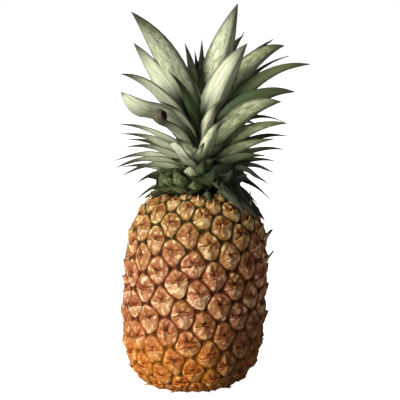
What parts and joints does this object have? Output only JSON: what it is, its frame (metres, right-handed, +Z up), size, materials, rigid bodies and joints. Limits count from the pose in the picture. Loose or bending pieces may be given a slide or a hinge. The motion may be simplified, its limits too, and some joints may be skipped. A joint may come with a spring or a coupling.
{
  "type": "pineapple",
  "caption": "Whole ripe pineapple that stands on its base, with a spiral of raised eyes and a leafy crown.",
  "frame": {"origin": "middle of the stalk's cut face, on the surface that the fruit stands on", "axes": "+Z up, along the fruit, which leans a few degrees towards +X; -Y is the front"},
  "size_m": [0.159, 0.1359, 0.316],
  "materials": {
    "fruit_skin": "orange-tan fruit eyes with cream bracts, dark red-brown grooves between them, waxy and slightly glossy",
    "crown_leaf": "stiff grey-green leaves, silvery underneath with fine lengthwise lines, dry brown at the tips",
    "cut_stalk": "dry fibrous cut end of the fruit's stalk"
  },
  "bodies": {
    "root": {"fruit": "fruit_skin", "crown": "crown_leaf", "stalk": "cut_stalk"}
  },
  "joints": []
}
